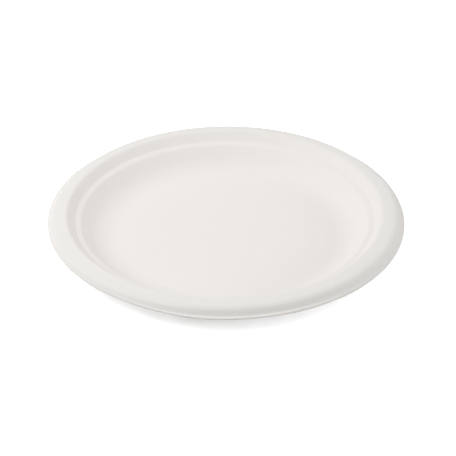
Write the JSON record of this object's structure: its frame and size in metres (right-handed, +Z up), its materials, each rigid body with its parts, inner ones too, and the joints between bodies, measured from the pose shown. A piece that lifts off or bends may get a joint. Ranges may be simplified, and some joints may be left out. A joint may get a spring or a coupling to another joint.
{
  "type": "paper plate",
  "caption": "Round white disposable dinner plate of moulded fibre, with a flat floor, stepped sloping walls and a broad rim turned down to a trimmed lip.",
  "frame": {"origin": "centre of the floor's underside, on the table", "axes": "+Z up along the plate's axis of revolution; X and Y are any two directions across the plate"},
  "size_m": [0.225, 0.225, 0.0184],
  "materials": {
    "moulded_fibre": "matte"
  },
  "bodies": {
    "root": {"plate": "moulded_fibre"}
  },
  "joints": []
}
